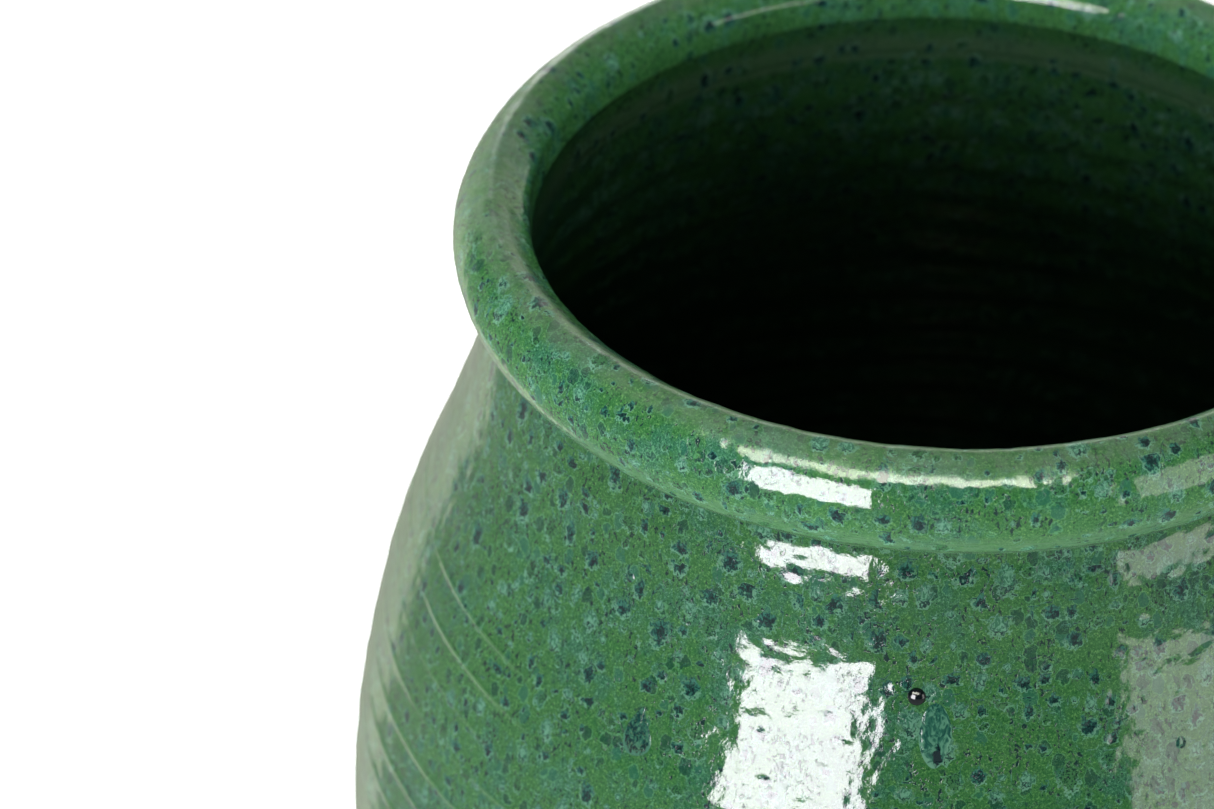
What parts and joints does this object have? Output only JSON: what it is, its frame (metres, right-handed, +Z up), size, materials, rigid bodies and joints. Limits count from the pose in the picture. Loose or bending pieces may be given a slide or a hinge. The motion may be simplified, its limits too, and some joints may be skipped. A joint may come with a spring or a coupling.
{
  "type": "glazed jar planter",
  "caption": "Glazed terracotta jar planter with a wide belly, a drawn-in neck, a rolled collar and a drain hole in a recessed foot.",
  "frame": {"origin": "on the ground at the jar's axis, under the centre of the foot", "axes": "+Z up along the jar's axis; -Y is the front, the side with the glaze drips"},
  "size_m": [0.3476, 0.3476, 0.4],
  "materials": {
    "terracotta": "unglazed fired clay, dry and slightly sandy",
    "outer_glaze": "glossy mottled green glaze with dark specks, pits and pale teal halos",
    "inner_glaze": "glossy dark green glaze over turning ridges",
    "glaze_drips": "glassy dark teal drips and beads of glaze"
  },
  "bodies": {
    "root": {"clay_body": "terracotta", "outer_glaze": "outer_glaze", "inner_glaze": "inner_glaze", "glaze_drips": "glaze_drips"}
  },
  "joints": []
}
